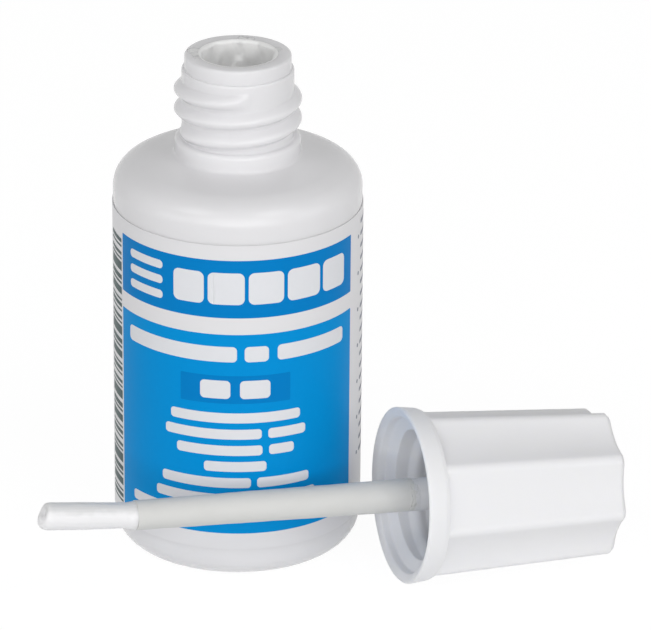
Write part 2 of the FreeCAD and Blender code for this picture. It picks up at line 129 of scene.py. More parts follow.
def helix_rise(angle, height, start_height, start_angle, sweep, half_width, depth):
    """How far a one-start thread stands out from its root at angles in degrees and heights."""
    rise = np.zeros(np.broadcast(angle, height).shape)
    for lap in range(math.ceil(sweep / 360) + 1):
        turn = (angle - start_angle) % 360 + 360 * lap
        fade = np.clip(np.minimum(turn, sweep - turn) / THREAD_FADE, 0, 1)
        away = np.abs(height - start_height - THREAD_PITCH * turn / 360) / half_width
        ridge = np.clip(1 - away**2, 0, 1) ** 1.5
        rise = np.maximum(rise, depth * np.sin(fade * math.pi / 2) * ridge)
    return rise


def put(name, data):
    """A new object in the scene."""
    piece = bpy.data.objects.new(name, data)
    bpy.context.scene.collection.objects.link(piece)
    return piece


def skin(name, rows, sharp=35.0):
    """Closed skin through rows of points (row, column, xyz) in millimetres, each row running round."""
    count, columns = rows.shape[:2]
    mesh = bpy.data.meshes.new(name)
    index = np.arange(count * columns).reshape(count, columns)
    following = np.roll(index, -1, axis=1)
    quads = np.stack([index[:-1], following[:-1], following[1:], index[1:]], -1).reshape(-1, 4)
    mesh.from_pydata((rows.reshape(-1, 3) * MM).tolist(), [], quads.tolist())
    work = bmesh.new()
    work.from_mesh(mesh)
    bmesh.ops.remove_doubles(work, verts=work.verts, dist=0.0005 * MM)
    work.to_mesh(mesh)
    work.free()
    mesh.shade_smooth()
    mesh.set_sharp_from_angle(angle=math.radians(sharp))
    return put(name, mesh)


def round_rows(outline, columns):
    """Rows of points round the Z axis from an outline of (radius, height) points."""
    angle = np.linspace(0, 2 * math.pi, columns, endpoint=False)
    radius, height = outline[:, :1], outline[:, 1:]
    return np.stack([radius * np.cos(angle), radius * np.sin(angle), height + 0 * angle], -1)


class Shade:
    """A socket in a material. Sums and products of it add their Math nodes beside it."""

    def __init__(self, tree, socket=None):
        self.tree = tree
        self.socket = socket

    def node(self, kind, settings, inputs, output=0):
        """Any node: its settings are set first, then its sockets' values or links."""
        made = self.tree.nodes.new(kind)
        for name, value in settings.items():
            setattr(made, name, value)
        for name, value in inputs.items():
            if isinstance(value, Shade):
                self.tree.links.new(value.socket, made.inputs[name])
            else:
                made.inputs[name].default_value = value
        return Shade(self.tree, made.outputs[output])

    def math(self, operation, *values):
        return self.node("ShaderNodeMath", {"operation": operation}, dict(enumerate(values)))

    def __add__(self, other):
        return self.math("ADD", self, other)

    def __sub__(self, other):
        return self.math("SUBTRACT", self, other)

    def __rsub__(self, other):
        return self.math("SUBTRACT", other, self)

    def __mul__(self, other):
        return self.math("MULTIPLY", self, other)

    __radd__ = __add__
    __rmul__ = __mul__

    def step(self, low, high):
        """0 below low and 1 above high, with a soft run between; high may be the smaller."""
        settings = {"interpolation_type": "SMOOTHSTEP"}
        return self.node("ShaderNodeMapRange", settings, {"Value": self, "From Min": low, "From Max": high})

    def part(self, axis):
        """One coordinate of a vector, in millimetres."""
        return self.node("ShaderNodeSeparateXYZ", {}, {0: self}, axis) * (1 / MM)

    def noise(self, grain, detail=3.0, stretch=(1, 1, 1)):
        """Noise from 0 to 1 over a vector, with grains of a size in millimetres."""
        scale = [share / (grain * MM) for share in stretch]
        spread = self.node("ShaderNodeVectorMath", {"operation": "MULTIPLY"}, {0: self, 1: scale})
        return self.node("ShaderNodeTexNoise", {}, {"Vector": spread, "Scale": 1.0, "Detail": detail})

    def between(self, low, high):
        """Colour between two colours, with this value as its share of the second."""
        inputs = {0: self, 6: low, 7: high}
        return self.node("ShaderNodeMix", {"data_type": "RGBA"}, inputs, 2)

    def bump(self, depth):
        """Normal of a surface that this value lifts by a depth in millimetres."""
        return self.node("ShaderNodeBump", {}, {"Height": self, "Distance": depth * MM, "Strength": 1.0})


def place_on(name):
    """A new material and the place on the piece that it covers."""
    material = bpy.data.materials.new(name)
    material.use_nodes = True
    tree = material.node_tree
    tree.nodes.clear()
    return material, Shade(tree).node("ShaderNodeTexCoord", {}, {}, "Object")


def surface(material, place, **inputs):
    """Ends a material in one Principled shader, whose sockets are named with _ for each space."""
    named = {name.replace("_", " "): value for name, value in inputs.items()}
    shader = place.node("ShaderNodeBsdfPrincipled", {}, named)
    end = place.tree.nodes.new("ShaderNodeOutputMaterial")
    place.tree.links.new(shader.socket, end.inputs["Surface"])
    return material


def dress(piece, material, slot, *nodes):
    """Gives a piece its material, its place on the body and the CAD nodes it stands for; the slot is not used."""
    piece.data.materials.clear()
    piece.data.materials.append(material)
    if nodes:
        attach(piece, "root")
        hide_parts(*nodes)


def bottle_run(point):
    """Rows lie close on the threaded neck and far apart elsewhere."""
    return 0.08 if point[0] > RIM_RADIUS and NECK_BASE_TOP < point[1] < LAND_TOP else 1.0


foot_inner = BODY_RADIUS - FOOT_ROUND - FOOT_RING_WIDTH
inner_radius = BODY_RADIUS - BODY_WALL
crown_height = SHOULDER_HEIGHT + (BODY_RADIUS - CROWN_RADIUS) * SHOULDER_SLOPE
neck_foot = crown_height + (CROWN_RADIUS - NECK_BASE_RADIUS) * CROWN_SLOPE
bottle_outline = rounded(
    [
        (0, PUSH_UP, 0),
        (foot_inner - PUSH_UP_RUN, PUSH_UP, 0.8),
        (foot_inner, 0, 0.3),
        (BODY_RADIUS, 0, FOOT_ROUND),
        (BODY_RADIUS, SHOULDER_HEIGHT, 2.9),
        (CROWN_RADIUS, crown_height, 5.0),
        (NECK_BASE_RADIUS, neck_foot, 0.5),
        (NECK_BASE_RADIUS, NECK_BASE_TOP, 0.5),
        (NECK_RADIUS, NECK_BASE_TOP, 0.2),
        (NECK_RADIUS, LAND_TOP, 0.26),
        (RIM_RADIUS, LAND_TOP, 0.05),
        (RIM_RADIUS, BOTTLE_HEIGHT, 0.3),
        (BORE_RADIUS, BOTTLE_HEIGHT, 0.3),
        (BORE_RADIUS, BORE_BOTTOM, 1.2),
        (*CROWN_INSIDE, 4.0),
        (inner_radius, SHOULDER_INSIDE_HEIGHT, 1.9),
        (inner_radius, BASE_WALL, FOOT_ROUND - BODY_WALL),
        (foot_inner, BASE_WALL, 0.3),
        (foot_inner - PUSH_UP_RUN, PUSH_UP + BASE_WALL, 0.8),
        (0, PUSH_UP + BASE_WALL, 0),
    ],
    bottle_run,
)
bottle_rows = round_rows(bottle_outline, BOTTLE_COLUMNS)
radius, height = bottle_outline[:, 0], bottle_outline[:, 1]
neck = (np.abs(radius - NECK_RADIUS) < 0.25) & (NECK_BASE_TOP + 0.04 < height) & (height < LAND_TOP + 0.01)
thread = helix_rise(
    np.degrees(np.linspace(0, 2 * math.pi, BOTTLE_COLUMNS, endpoint=False)),
    bottle_outline[neck][:, 1:],
    NECK_THREAD_HEIGHT,
    NECK_THREAD_START,
    NECK_THREAD_SWEEP,
    NECK_THREAD_HALF_WIDTH,
    NECK_THREAD_DEPTH,
)
bottle_rows[neck, :, :2] *= (1 + thread / bottle_outline[neck][:, :1])[:, :, None]
bottle = skin("blown_bottle", bottle_rows)

bottle_white, place = place_on("blown_polyethylene")
cloud = place.noise(9.0)
grain = place.noise(0.35, 2.0)
crumb = place.noise(0.5, 4.0)
clean = cloud.between((0.79, 0.785, 0.80, 1), (0.82, 0.815, 0.83, 1))
dried = crumb.between((0.93, 0.93, 0.93, 1), (0.99, 0.99, 0.99, 1))
spill = 0.0
for x, y, size in RIM_SPOTS:
    centre = (x * MM, y * MM, BOTTLE_HEIGHT * MM)
    away = place.node("ShaderNodeVectorMath", {"operation": "DISTANCE"}, {0: place, 1: centre}, "Value") * (1 / MM)
    spill = place.math("MAXIMUM", spill, (away + crumb * 0.5).step(size + 0.35, size + 0.2))
surface(
    bottle_white,
    place,
    Base_Color=spill.between(clean, dried),
    Roughness=spill * 0.3 + (cloud * 0.06 + 0.19),
    Subsurface_Weight=0.6,
    Subsurface_Radius=(1, 1, 1),
    Subsurface_Scale=0.0012,
    Normal=(cloud * 2 + grain * 0.35 + spill * (crumb * 10 + 8)).bump(0.02),
)
dress(bottle, bottle_white, "bottle_plastic", "bottle")


# Dried fluid: correction fluid that has dried on the bore's wall, in a thin crust with lumps and bare spots.
# It builds up there because the wet stem and brush are drawn past the rim, and it ends on the rim's inner edge.

CRUST_BOTTOM = 52.0
CRUST_BACK_TOP = 59.1
CRUST_FACE_TOP = 59.2
# Its edge on the rim: the radius past the bore's and the height of each point.
CRUST_EDGE = ((0.14, 59.32), (0.3, 59.44), (0.12, 59.445), (-0.02, 59.36))
CRUST_THINNEST = 0.1
CRUST_LUMPS = 0.06
CRUST_WAVES = 14
CRUST_ROWS = 60
CRUST_COLUMNS = 240

crust_turn = np.linspace(0, 2 * math.pi, CRUST_COLUMNS, endpoint=False)
crust_outline = np.concatenate(
    [
        [(BORE_RADIUS + 0.05, z) for z in np.linspace(CRUST_BOTTOM, CRUST_BACK_TOP, 4)],
        [(BORE_RADIUS + out, z) for out, z in CRUST_EDGE],
        [(BORE_RADIUS - CRUST_THINNEST, z) for z in np.linspace(CRUST_FACE_TOP, CRUST_BOTTOM, CRUST_ROWS)],
    ]
)
crust_rows = round_rows(crust_outline, CRUST_COLUMNS)
heights = crust_outline[-CRUST_ROWS:, 1:]
chance = np.random.default_rng(4)
build_up = 0.4 + 0 * crust_turn * heights
for _ in range(CRUST_WAVES):
    laps, climb, start = chance.integers(2, 19), chance.uniform(-2.5, 2.5), chance.uniform(0, 6.3)
    build_up += 0.45 / math.sqrt(laps + 4) * np.sin(laps * crust_turn + climb * heights + start)
crust_rows[-CRUST_ROWS:, :, :2] *= (1 - CRUST_LUMPS * np.clip(build_up, 0, 1))[:, :, None]
crust = skin("dried_fluid_crust", np.concatenate([crust_rows, crust_rows[:1]]), 60.0)

crust_white, place = place_on("dried_fluid")
crumb = place.noise(0.6, 4.0)
surface(
    crust_white,
    place,
    Base_Color=crumb.between((0.95, 0.95, 0.94, 1), (0.99, 0.99, 0.99, 1)),
    Roughness=crumb * 0.2 + 0.3,
    Normal=crumb.bump(0.05),
)
dress(crust, crust_white, "bottle_plastic")
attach(crust, "root")


# Mixing ball: a ground steel ball that is dropped into the bottle before filling and lies loose on its floor.
# It stirs the fluid when the bottle is shaken. Its shape is the one in the CAD.

ball_steel, place = place_on("ground_steel_ball")
surface(
    ball_steel,
    place,
    Base_Color=(0.62, 0.62, 0.64, 1),
    Metallic=1.0,
    Roughness=place.noise(1.5) * 0.15 + 0.18,
)
dress(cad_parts["mixing_ball"], ball_steel, "ball_steel")


# Label: white plastic film glued round the body, its end lapped over its start at the back.
# Its print is flat ink: a band, a panel with a box and rows of plain marks, bars and small marks beside.

FILM_INNER = BODY_RADIUS + 0.02
FILM_RADIUS = BODY_RADIUS + 0.12
FILM_THICKNESS = 0.1
FILM_LAP = 3.0
FILM_FRONT = math.radians(89.4)
INK = 0.008
FILM_BOTTOM, FILM_TOP = 4.15, 41.75
FILM_SEAM = math.radians(186.4) * FILM_RADIUS
PRINT_ARC = 32.3
PRINT_CORNER = 0.12
BAND_BOTTOM, BAND_TOP = 32.95, 39.95
PANEL_BOTTOM, PANEL_TOP = 6.15, 30.92


def on_body(radius, arc, height):
    """Points on the label at arc lengths from its front middle and heights."""
    angle = arc / FILM_RADIUS - FILM_FRONT
    return np.stack([radius * np.cos(angle), radius * np.sin(angle), height + 0 * angle], -1)


def ink_bar(left, right, bottom, top, corner=0.25):
    """Arcs, lower edge and upper edge of a bar with rounded corners."""
    corner = min(corner, (right - left) / 2, (top - bottom) / 2)
    bend = corner * (1 - np.cos(np.linspace(0, math.pi / 2, 7)))
    between = np.arange(left + corner, right - corner, 0.3)
    arcs = np.unique(np.concatenate([left + bend, right - bend, between]))
    reach = np.minimum(np.minimum(arcs - left, right - arcs), corner)
    dip = corner - np.sqrt(np.maximum(corner**2 - (corner - reach) ** 2, 0))
    return arcs, bottom + dip, top - dip


def inked(name, lift, bars):
    """One flat piece of ink from bars, wrapped round the film."""
    points, quads = [], []
    for arcs, low, high in bars:
        start = len(points)
        points += on_body(FILM_RADIUS - lift, arcs, low).tolist()
        points += on_body(FILM_RADIUS - lift, arcs, high).tolist()
        count = len(arcs)
        for i in range(start, start + count - 1):
            quads.append((i, i + 1, i + 1 + count, i + count))
    mesh = bpy.data.meshes.new(name)
    mesh.from_pydata((np.array(points) * MM).tolist(), [], quads)
    mesh.shade_smooth()
    return put(name, mesh)


def row(bottom, top, middle, height, run, shift=0.0, corner=0.25):
    """Bars of one row, with its height and its blocks and gaps in turn as shares of field and print."""
    low = bottom + (top - bottom) * (middle - height / 2)
    high = bottom + (top - bottom) * (middle + height / 2)
    at = (shift - sum(run) / 2) * PRINT_ARC
    bars = []
    for i, share in enumerate(run):
        if i % 2 == 0:
            bars.append(ink_bar(at, at + share * PRINT_ARC, low, high, corner))
        at += share * PRINT_ARC
    return bars


arc = np.linspace(FILM_SEAM - 2 * math.pi * FILM_RADIUS, FILM_SEAM + FILM_LAP, 301)
lap = np.clip((arc - FILM_SEAM + 0.5) / 0.5, 0, 1) * FILM_THICKNESS
film_outer = FILM_RADIUS - 2 * INK + lap
film_inner = FILM_INNER + lap
film_rows = np.stack(
    [
        on_body(film_outer, arc, FILM_BOTTOM),
        on_body(film_outer, arc, FILM_TOP),
        on_body(film_inner, arc, FILM_TOP),
        on_body(film_inner, arc, FILM_BOTTOM),
    ],
    1,
)
film = skin("label_wrap", film_rows)

film_white, place = place_on("white_label_film")
cloud = place.noise(6.0)
surface(
    film_white,
    place,
    Base_Color=cloud.between((0.77, 0.765, 0.78, 1), (0.79, 0.785, 0.80, 1)),
    Roughness=cloud * 0.06 + 0.33,
    Normal=cloud.bump(0.03),
)
dress(film, film_white, "film_white", "label_film")


def ink(name, low, high):
    """Ink of one colour, with the faint mottle of print on film."""
    material, place = place_on(name)
    mottle = place.noise(0.5, 4.0) * 0.6 + place.noise(5.0) * 0.4
    return surface(
        material,
        place,
        Base_Color=mottle.between(low, high),
        Roughness=mottle * 0.08 + 0.32,
        Specular_IOR_Level=0.06,
        Normal=place.noise(6.0).bump(0.03),
    )


band_blue = ink("band_ink", (0.0, 0.205, 0.56, 1), (0.0, 0.225, 0.60, 1))
panel_blue = ink("panel_ink", (0.0, 0.27, 0.67, 1), (0.0, 0.30, 0.72, 1))
mark_white = ink("white_ink", (0.76, 0.77, 0.80, 1), (0.80, 0.81, 0.84, 1))
mark_dark = ink("dark_ink", (0.065, 0.10, 0.10, 1), (0.09, 0.135, 0.135, 1))
mark_grey = ink("grey_ink", (0.22, 0.24, 0.30, 1), (0.28, 0.30, 0.36, 1))

half_print = PRINT_ARC / 2
band = (BAND_BOTTOM, BAND_TOP)
field = (PANEL_BOTTOM, PANEL_TOP)
band_field = inked("label_band_ink", INK, [ink_bar(-half_print, half_print, *band, PRINT_CORNER)])
dress(band_field, band_blue, "band_blue", "label_band")
panel = inked("label_panel_ink", INK, [ink_bar(-half_print, half_print, *field, PRINT_CORNER)])
dress(panel, panel_blue, "panel_blue", "label_panel")
box = inked("label_box_ink", INK / 2, row(*field, 0.726, 0.139, (0.398,), corner=PRINT_CORNER))
dress(box, band_blue, "box_blue", "label_panel_box")

blocks = (0.115, 0.014, 0.13, 0.014, 0.127, 0.014, 0.133, 0.014, 0.115)
band_bars = row(*band, 0.51, 0.55, blocks, 0.112, 0.7)
for middle in (0.25, 0.51, 0.77):
    band_bars += row(*band, middle, 0.145, (0.166,), -0.355, 0.45)
dress(inked("label_band_marks_ink", 0, band_bars), mark_white, "print_white", "label_band_marks")

panel_bars = row(*field, 0.726, 0.09, (0.108, 0.034, 0.108), corner=0.5)
panel_bars += row(*field, 0.902, 0.076, (0.45, 0.027, 0.086, 0.032, 0.293), corner=0.5)
for middle, run in (
    (0.584, (0.476,)),
    (0.502, (0.354, 0.024, 0.142)),
    (0.42, (0.311, 0.024, 0.093)),
    (0.339, (0.223,)),
    (0.257, (0.331, 0.022, 0.197)),
    (0.174, (0.3, 0.024, 0.28)),
    (0.092, (0.26, 0.024, 0.2, 0.024, 0.34)),
):
    panel_bars += row(*field, middle, 0.05, run, corner=0.4)
dress(inked("label_panel_marks_ink", 0, panel_bars), mark_white, "print_white", "label_panel_marks")

BARS_BOTTOM, BARS_TOP = 6.0, 39.2
BARS_WIDTH = 3.8
BARS_FROM_PRINT = 0.35
# The height of each bar and of the gap over it, in turn.
BARS_AND_GAPS = (
    (0.25, 0.3),
    (0.5, 0.3),
    (0.25, 0.55),
    (0.9, 0.35),
    (0.3, 0.25),
    (0.6, 0.5),
    (1.1, 0.3),
    (0.25, 0.3),
    (0.4, 0.6),
)

bars = []
bars_right = -half_print - BARS_FROM_PRINT
height = BARS_BOTTOM
bar, gap = BARS_AND_GAPS[0]
while height + bar < BARS_TOP:
    bars.append(ink_bar(bars_right - BARS_WIDTH, bars_right, height, height + bar, 0.03))
    height += bar + gap
    bar, gap = BARS_AND_GAPS[len(bars) % len(BARS_AND_GAPS)]
dress(inked("label_bars_ink", 0, bars), mark_dark, "print_dark", "label_bar_marks")

SMALL_LINES = 20
SMALL_BOTTOM = 11.5
SMALL_PITCH = 1.5
SMALL_HEIGHT = 0.5
SMALL_FROM_PRINT = 3.4
SMALL_LENGTHS = (7.5, 6.2, 7.0, 4.0, 7.5, 6.8, 3.0)

small = []
small_left = half_print + SMALL_FROM_PRINT
for line in range(SMALL_LINES):
    low = SMALL_BOTTOM + SMALL_PITCH * line
    length = SMALL_LENGTHS[line % len(SMALL_LENGTHS)]
    small.append(ink_bar(small_left, small_left + length, low, low + SMALL_HEIGHT, 0.2))
    if line % 3 == 0:
        small.append(ink_bar(small_left - 1.2, small_left - 0.7, low, low + SMALL_HEIGHT, 0.25))
dress(inked("label_small_marks_ink", 0, small), mark_grey, "print_grey", "label_side_marks")


# Screw cap: white plastic moulded in one piece, with a plain collar round its mouth and eight soft ridges
# for grip. Inside are the lead-in, the thread, and the socket that holds the stem.

CAP_MOUTH = Vector((19.0, -12.1, 10.187))
CAP_HEADING = math.radians(19.0)
CAP_TILT = math.radians(3.508)
CAP_LENGTH = 24.65
COLLAR_RADIUS = 10.19
COLLAR_WIDTH = 2.15
RIDGE_AT_COLLAR = 9.75
RIDGE_AT_END = 8.75
RIDGE_ROUND = 1.1
FLUTE_DEPTH = 1.02
RIDGES = 8
RIDGE_TURN = math.radians(4.5)
END_CHAMFER = 0.5
END_WALL = 1.3
CAP_BORE = 7.58
LEAD_IN_RADIUS = 9.0
MOUTH_RADIUS = 9.89
WELL_RADIUS = 6.2
SOCKET_WALL_RADIUS = 3.42
SOCKET_RADIUS = 2.12
SOCKET_END = 21.25
STEM_SHOULDER = 12.25
CAP_THREAD_HEIGHT = 2.6
CAP_THREAD_START = 140.0
CAP_THREAD_SWEEP = 620.0
CAP_THREAD_HALF_WIDTH = 1.1
CAP_THREAD_DEPTH = 0.45
CAP_COLUMNS = 320

lying = (
    Matrix.Translation(CAP_MOUTH * MM)
    @ Matrix.Rotation(CAP_HEADING, 4, "Z")
    @ Matrix.Rotation(math.pi / 2 + CAP_TILT, 4, "Y")
)


def fluted(ridge, angle):
    """Radius of the ridged body at angles: round ridges of one radius, with a tangent hollow between."""
    half = math.pi / RIDGES
    centre = ridge - RIDGE_ROUND
    floor = centre - FLUTE_DEPTH
    far = (centre**2 - floor**2) / (2 * (centre * math.cos(half) - floor))
    hollow = far - (ridge - FLUTE_DEPTH)
    off = np.abs((angle - RIDGE_TURN + half) % (2 * half) - half)
    across = np.array([far * math.cos(half) - centre, far * math.sin(half)])
    touch = np.array([centre, 0]) + across / np.linalg.norm(across) * RIDGE_ROUND
    on_ridge = centre * np.cos(off) + np.sqrt(np.maximum(RIDGE_ROUND**2 - (centre * np.sin(off)) ** 2, 0))
    from_hollow = half - off
    in_flute = far * np.cos(from_hollow) - np.sqrt(np.maximum(hollow**2 - (far * np.sin(from_hollow)) ** 2, 0))
    return np.where(off < math.atan2(touch[1], touch[0]), on_ridge, in_flute)


turn_cap = np.linspace(0, 2 * math.pi, CAP_COLUMNS, endpoint=False)


def cap_rows(radii, depths):
    """Rows round the cap's axis from radii (row, column) and depths from its mouth."""
    radii = np.broadcast_to(radii, (len(depths), len(turn_cap)))
    return np.stack([radii * np.cos(turn_cap), radii * np.sin(turn_cap), depths[:, None] + 0 * radii], -1)


collar = rounded(
    [
        (MOUTH_RADIUS, 0, 0),
        (COLLAR_RADIUS, 0, 0.25),
        (COLLAR_RADIUS - 0.25, COLLAR_WIDTH, 0.15),
        (RIDGE_AT_COLLAR, COLLAR_WIDTH + 0.45, 0),
    ],
    lambda point: 1.0,
)
body = rounded(
    [
        (RIDGE_AT_COLLAR, COLLAR_WIDTH + 0.45, 0),
        (RIDGE_AT_END, CAP_LENGTH - END_CHAMFER, 0.35),
        (RIDGE_AT_END - END_CHAMFER, CAP_LENGTH, 0.3),
        (0, CAP_LENGTH, 0),
    ],
    lambda point: 1.2,
)
end_ridge = RIDGE_AT_END - END_CHAMFER
body_radii = np.array([fluted(max(r, end_ridge), turn_cap) * min(1, r / end_ridge) for r in body[:, 0]])
inside = rounded(
    [
        (0, SOCKET_END, 0),
        (SOCKET_RADIUS, SOCKET_END, 0.1),
        (SOCKET_RADIUS, STEM_SHOULDER, 0.1),
        (SOCKET_WALL_RADIUS, STEM_SHOULDER, 0.1),
        (SOCKET_WALL_RADIUS, CAP_LENGTH - END_WALL, 0.3),
        (WELL_RADIUS, CAP_LENGTH - END_WALL, 1.0),
        (WELL_RADIUS, STEM_SHOULDER, 0.1),
        (CAP_BORE, STEM_SHOULDER, 0.1),
        (CAP_BORE, 2.0, 0.2),
        (LEAD_IN_RADIUS, 1.3, 0.3),
        (LEAD_IN_RADIUS, 0.4, 0.3),
        (MOUTH_RADIUS, 0, 0),
    ],
    lambda point: 0.1 if point[0] > CAP_BORE - 0.01 and 1.8 < point[1] < 9 else 1.2,
)
inside_radii = np.repeat(inside[:, :1], len(turn_cap), 1)
bore_rows = (np.abs(inside[:, 0] - CAP_BORE) < 0.3) & (inside[:, 1] > 1.5) & (inside[:, 1] < 12)
cap_thread = helix_rise(
    np.degrees(turn_cap),
    inside[bore_rows][:, 1:],
    CAP_THREAD_HEIGHT,
    CAP_THREAD_START,
    CAP_THREAD_SWEEP,
    CAP_THREAD_HALF_WIDTH,
    CAP_THREAD_DEPTH,
)
inside_radii[bore_rows] = np.maximum(inside[bore_rows][:, :1], CAP_BORE) - cap_thread
cap = skin(
    "screw_cap_moulded",
    np.concatenate(
        [
            cap_rows(inside_radii, inside[:, 1]),
            cap_rows(collar[1:, :1], collar[1:, 1]),
            cap_rows(body_radii, body[:, 1]),
        ]
    ),
)
cap.data.transform(lying)

cap_white, place = place_on("moulded_cap_white")
cloud = place.noise(7.0)
surface(
    cap_white,
    place,
    Base_Color=cloud.between((0.865, 0.865, 0.88, 1), (0.885, 0.885, 0.90, 1)),
    Roughness=cloud * 0.06 + 0.5,
    Subsurface_Weight=0.4,
    Subsurface_Radius=(1, 1, 1.1),
    Subsurface_Scale=0.001,
    Normal=(cloud * 4 + place.noise(0.3, 2.0) * 0.25).bump(0.02),
)
dress(cap, cap_white, "cap_plastic", "screw_cap")


# Stem: a tapered plastic rod moulded with the flange and plug skirt that seal the bottle's mouth.
# Fluid has dried on it in a thin uneven coat that ends in a ragged line just inside the cap; past it the plastic is
# painted lighter, as painted light in the cap's shade.

STEM_AT_MOUTH = 1.87
STEM_AT_TIP = 1.675
STEM_REACH = 31.7
HOLE_RADIUS = 1.155
HOLE_DEPTH = 5.0
PLUG_INSIDE, PLUG_OUTSIDE = 3.42, 4.22
PLUG_LENGTH = 1.8
FLANGE_RADIUS = 6.68
FLANGE_THICKNESS = 1.0
TAIL_RADIUS = 2.1
TAIL_LENGTH = 8.5
COAT_END = 1.3
COAT_DEPTH = 0.035
STEM_COLUMNS = 96

flange_low = STEM_SHOULDER - FLANGE_THICKNESS
stem_outline = rounded(
    [
        (0, HOLE_DEPTH - STEM_REACH, 0),
        (HOLE_RADIUS, HOLE_DEPTH - STEM_REACH, 0.1),
        (HOLE_RADIUS, -STEM_REACH, 0.1),
        (STEM_AT_TIP, -STEM_REACH, 0.05),
        (STEM_AT_MOUTH + (STEM_AT_MOUTH - STEM_AT_TIP) / STEM_REACH * flange_low, flange_low, 0.4),
        (PLUG_INSIDE, flange_low, 0.1),
        (PLUG_INSIDE, flange_low - PLUG_LENGTH, 0.1),
        (PLUG_OUTSIDE - 0.2, flange_low - PLUG_LENGTH, 0.1),
        (PLUG_OUTSIDE, flange_low - 1.1, 0.1),
        (PLUG_OUTSIDE, flange_low, 0.1),
        (FLANGE_RADIUS, flange_low, 0.15),
        (FLANGE_RADIUS, STEM_SHOULDER, 0.15),
        (TAIL_RADIUS, STEM_SHOULDER, 0.1),
        (TAIL_RADIUS, STEM_SHOULDER + TAIL_LENGTH, 0.3),
        (0, STEM_SHOULDER + TAIL_LENGTH, 0),
    ],
    lambda point: 0.2 if 1.6 < point[0] < 2.0 and point[1] < 4 else 1.2,
)
stem_rows = round_rows(stem_outline, STEM_COLUMNS)
rod = (stem_outline[:, 0] > 1.6) & (stem_outline[:, 0] < 2.0) & (stem_outline[:, 1] < 10)
turn_rod = np.linspace(0, 2 * math.pi, STEM_COLUMNS, endpoint=False)
along = stem_outline[rod][:, 1:]
ragged = COAT_END + 0.22 * np.sin(3 * turn_rod + 0.6) + 0.14 * np.sin(7 * turn_rod) + 0.08 * np.sin(13 * turn_rod)
coat = np.clip((ragged - along) / 0.25, 0, 1)
swell = 0.6 + 0.25 * np.sin(0.9 * along + 2 * turn_rod) + 0.15 * np.sin(2.3 * along - 3 * turn_rod + 1)
stem_rows[rod, :, :2] *= (1 + COAT_DEPTH * coat * swell / stem_outline[rod][:, :1])[:, :, None]
stem = skin("stem_moulded", stem_rows)
stem.data.transform(lying)

stem_white, place = place_on("stem_with_dried_fluid")
laid = {"Vector": place, "Location": CAP_MOUTH * MM, "Rotation": lying.to_euler()}
place = place.node("ShaderNodeMapping", {"vector_type": "TEXTURE"}, laid)
ripple = place.noise(0.5, 4.0, (1, 1, 2.2))
depth = place.part(2) + (ripple - 0.5) * 1.1
# The plastic past the coat's ragged end, inside the cap. Its lighter colour is painted light that stands in for
# light in the cap's shade; the coat's edge itself is real.
bare_and_painted_light = depth.step(COAT_END - 0.1, COAT_END + 0.15)
edge = depth.step(COAT_END - 0.9, COAT_END - 0.1) * (1 - depth.step(COAT_END, COAT_END + 0.7))
cloud = place.noise(2.5)
dried = cloud.between((0.67, 0.67, 0.65, 1), (0.715, 0.715, 0.70, 1))
surface(
    stem_white,
    place,
    Base_Color=bare_and_painted_light.between(dried, (0.80, 0.80, 0.81, 1)),
    Roughness=0.55 - bare_and_painted_light * 0.12,
    Normal=(cloud * 1.5 + ripple * edge * 3).bump(0.05),
)
dress(stem, stem_white, "stem_plastic", "stem")


# Brush: bristles folded over a flat wire staple in the stem's end. The fluid that they hold draws them
# together into one smooth wet point, cut off a little aslant, with only fine streaks to show them.

BRUSH_LENGTH = 11.3
BRUSH_BEND = math.radians(3.8)
# Places down the brush and its half width at each: gathered at the stem, then widest near the tip.
BRUSH_PLACES = (0, 0.25, 1.1, 6, BRUSH_LENGTH)
BRUSH_HALF_WIDTHS = (1.655, 1.6, 1.46, 1.575, 1.575)
TIP_ROUND = 1.0
TIP_END = 0.45
STREAK_DEPTH = 0.010
SLANT = 0.035

turn_hair = np.linspace(0, 2 * math.pi, 128, endpoint=False)
up = -np.cos(turn_hair)
sides = np.linspace(0, BRUSH_LENGTH - TIP_ROUND, 50)
nose = BRUSH_LENGTH - TIP_ROUND + TIP_ROUND * np.sin(np.linspace(0.05, math.pi / 2, 16))
down = np.concatenate([[0], sides, nose, [BRUSH_LENGTH]])[:, None]
from_end = np.clip((BRUSH_LENGTH - down) / TIP_ROUND, 0, 1)
tip = np.sqrt(1 - (1 - from_end) ** 2) ** np.interp(up, (-1, 0.3, 1), (1.0, 0.6, 0.25))
width = np.interp(down, BRUSH_PLACES, BRUSH_HALF_WIDTHS) * (TIP_END + (1 - TIP_END) * tip)
width[[0, -1]] = 0
streaks = 0.5 * np.sin(17 * turn_hair + 0.3 * down) + 0.3 * np.sin(29 * turn_hair - 0.4 * down)
width *= 1 - STREAK_DEPTH * (1 - streaks) * np.clip(down / 3, 0, 1)
depth = down * (1 - SLANT * (1 + up) * (down / BRUSH_LENGTH) ** 6)
brush_rows = np.stack([width * np.cos(turn_hair), width * np.sin(turn_hair), -depth], -1)
brush = skin("brush_bristles", brush_rows)
brush.matrix_world = lying @ Matrix.Translation((0, 0, -STEM_REACH * MM)) @ Matrix.Rotation(BRUSH_BEND, 4, "Y")

bristles, place = place_on("wet_bristles")
hairs = place.noise(0.25, 3.0, (1, 1, 0.04))
